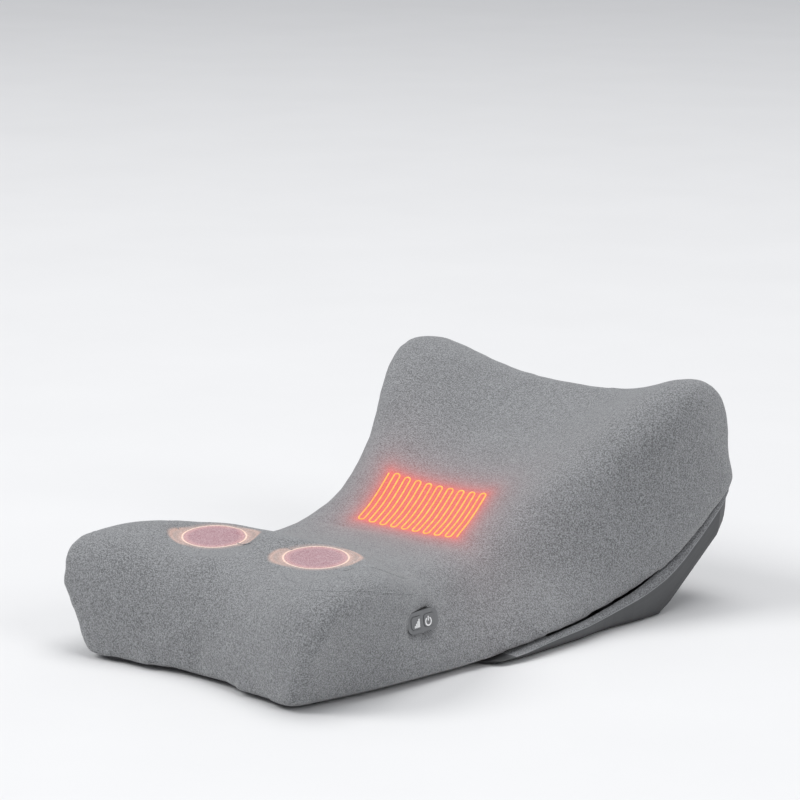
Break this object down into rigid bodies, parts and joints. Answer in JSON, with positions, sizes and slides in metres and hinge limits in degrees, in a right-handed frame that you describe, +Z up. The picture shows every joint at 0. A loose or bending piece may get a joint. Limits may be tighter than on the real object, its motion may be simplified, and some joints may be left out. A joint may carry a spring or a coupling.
{
  "type": "shiatsu neck massager",
  "caption": "Padded saddle-shaped shiatsu neck massager with kneading heads under a fabric cover, a heated slope, side keys and a wedge base.",
  "frame": {"origin": "centre of the footprint, on the surface the massager stands on", "axes": "+Z up; -Y is the low front with the massage heads, +Y the high rear with the wings; +X is the side with the control pad"},
  "size_m": [0.2658, 0.3992, 0.1548],
  "materials": {
    "grey_velour": "soft grey short-pile velour",
    "dark_board": "matte",
    "foam": "open cell foam",
    "heater_film": "thin film",
    "copper_wire": "drawn",
    "black_plastic": "fine texture",
    "key_plastic": "satin",
    "dome_rubber": "matte",
    "circuit_board": "solder mask",
    "grey_nylon": "moulded",
    "steel": "ground",
    "bronze": "sintered",
    "motor_steel": "plated",
    "white_nylon": "moulded",
    "sintered_steel": "sintered",
    "node_plastic": "smooth",
    "wedge_plastic": "fine grain",
    "cell_wrap": "shrink wrap",
    "red_lead": "soft",
    "black_lead": "soft",
    "white_lead": "soft",
    "foot_rubber": "matte"
  },
  "bodies": {
    "base": {"cover_top": "grey_velour", "bottom_panel": "dark_board", "foam_cushion": "foam", "heater_sheet": "heater_film", "heating_wire": "copper_wire", "control_bezel": "black_plastic", "key_domes": "dome_rubber", "key_board": "circuit_board", "gearbox_tray": "grey_nylon", "gearbox_lid": "grey_nylon", "lid_screws": "steel", "lid_bushes": "bronze", "tray_bushes": "bronze", "motor_can": "motor_steel", "motor_end_cap": "black_plastic", "motor_clamp": "grey_nylon", "worm_bearing": "grey_nylon", "gear_pins": "steel", "wedge_base": "wedge_plastic", "wedge_screws": "steel", "battery_cells": "cell_wrap", "battery_holder": "black_plastic", "main_board": "circuit_board", "motor_leads": "red_lead", "battery_leads": "black_lead", "heater_leads": "red_lead", "key_leads": "white_lead", "charge_leads": "black_lead", "charge_port": "black_plastic", "rubber_feet": "foot_rubber"},
    "left_head": {"output_gear_left": "sintered_steel", "output_shaft_left": "steel", "head_plate_left": "grey_nylon", "kneading_nodes_left": "node_plastic", "head_screws_left": "steel"},
    "right_head": {"output_gear_right": "sintered_steel", "output_shaft_right": "steel", "head_plate_right": "grey_nylon", "kneading_nodes_right": "node_plastic", "head_screws_right": "steel"},
    "left_gear": {"compound_gear_left": "white_nylon"},
    "right_gear": {"compound_gear_right": "white_nylon"},
    "worm": {"worm_shaft": "steel"},
    "level_key": {"key_level": "key_plastic"},
    "power_key": {"key_power": "key_plastic"}
  },
  "joints": [
    {"name": "left_head_spin", "type": "hinge", "parent": "base", "child": "left_head", "pos_m": [-0.045, -0.1274, 0.04], "axis": [0, 0, 1], "continuous": true},
    {"name": "right_head_spin", "type": "hinge", "parent": "base", "child": "right_head", "pos_m": [0.045, -0.1274, 0.04], "axis": [0, 0, 1], "continuous": true},
    {"name": "left_gear_spin", "type": "hinge", "parent": "base", "child": "left_gear", "pos_m": [-0.021, -0.1274, 0.025], "axis": [0, 0, 1], "continuous": true},
    {"name": "right_gear_spin", "type": "hinge", "parent": "base", "child": "right_gear", "pos_m": [0.021, -0.1274, 0.025], "axis": [0, 0, 1], "continuous": true},
    {"name": "worm_spin", "type": "hinge", "parent": "base", "child": "worm", "pos_m": [0, -0.1274, 0.0251], "axis": [0, 1, 0], "continuous": true},
    {"name": "level_key_press", "type": "slide", "parent": "base", "child": "level_key", "axis": [-0.9921, 0, -0.1251], "range_m": [0, 0.001], "stiffness_N_per_m": 400, "springref_m": -0.001},
    {"name": "power_key_press", "type": "slide", "parent": "base", "child": "power_key", "axis": [-0.9921, 0, -0.1251], "range_m": [0, 0.001], "stiffness_N_per_m": 400, "springref_m": -0.001}
  ],
  "couplings": [
    {"joint": "right_head_spin", "follows": "left_head_spin", "ratio": -1},
    {"joint": "left_gear_spin", "follows": "left_head_spin", "ratio": -1.6667},
    {"joint": "right_gear_spin", "follows": "left_head_spin", "ratio": 1.6667},
    {"joint": "worm_spin", "follows": "left_head_spin", "ratio": 33.333}
  ]
}
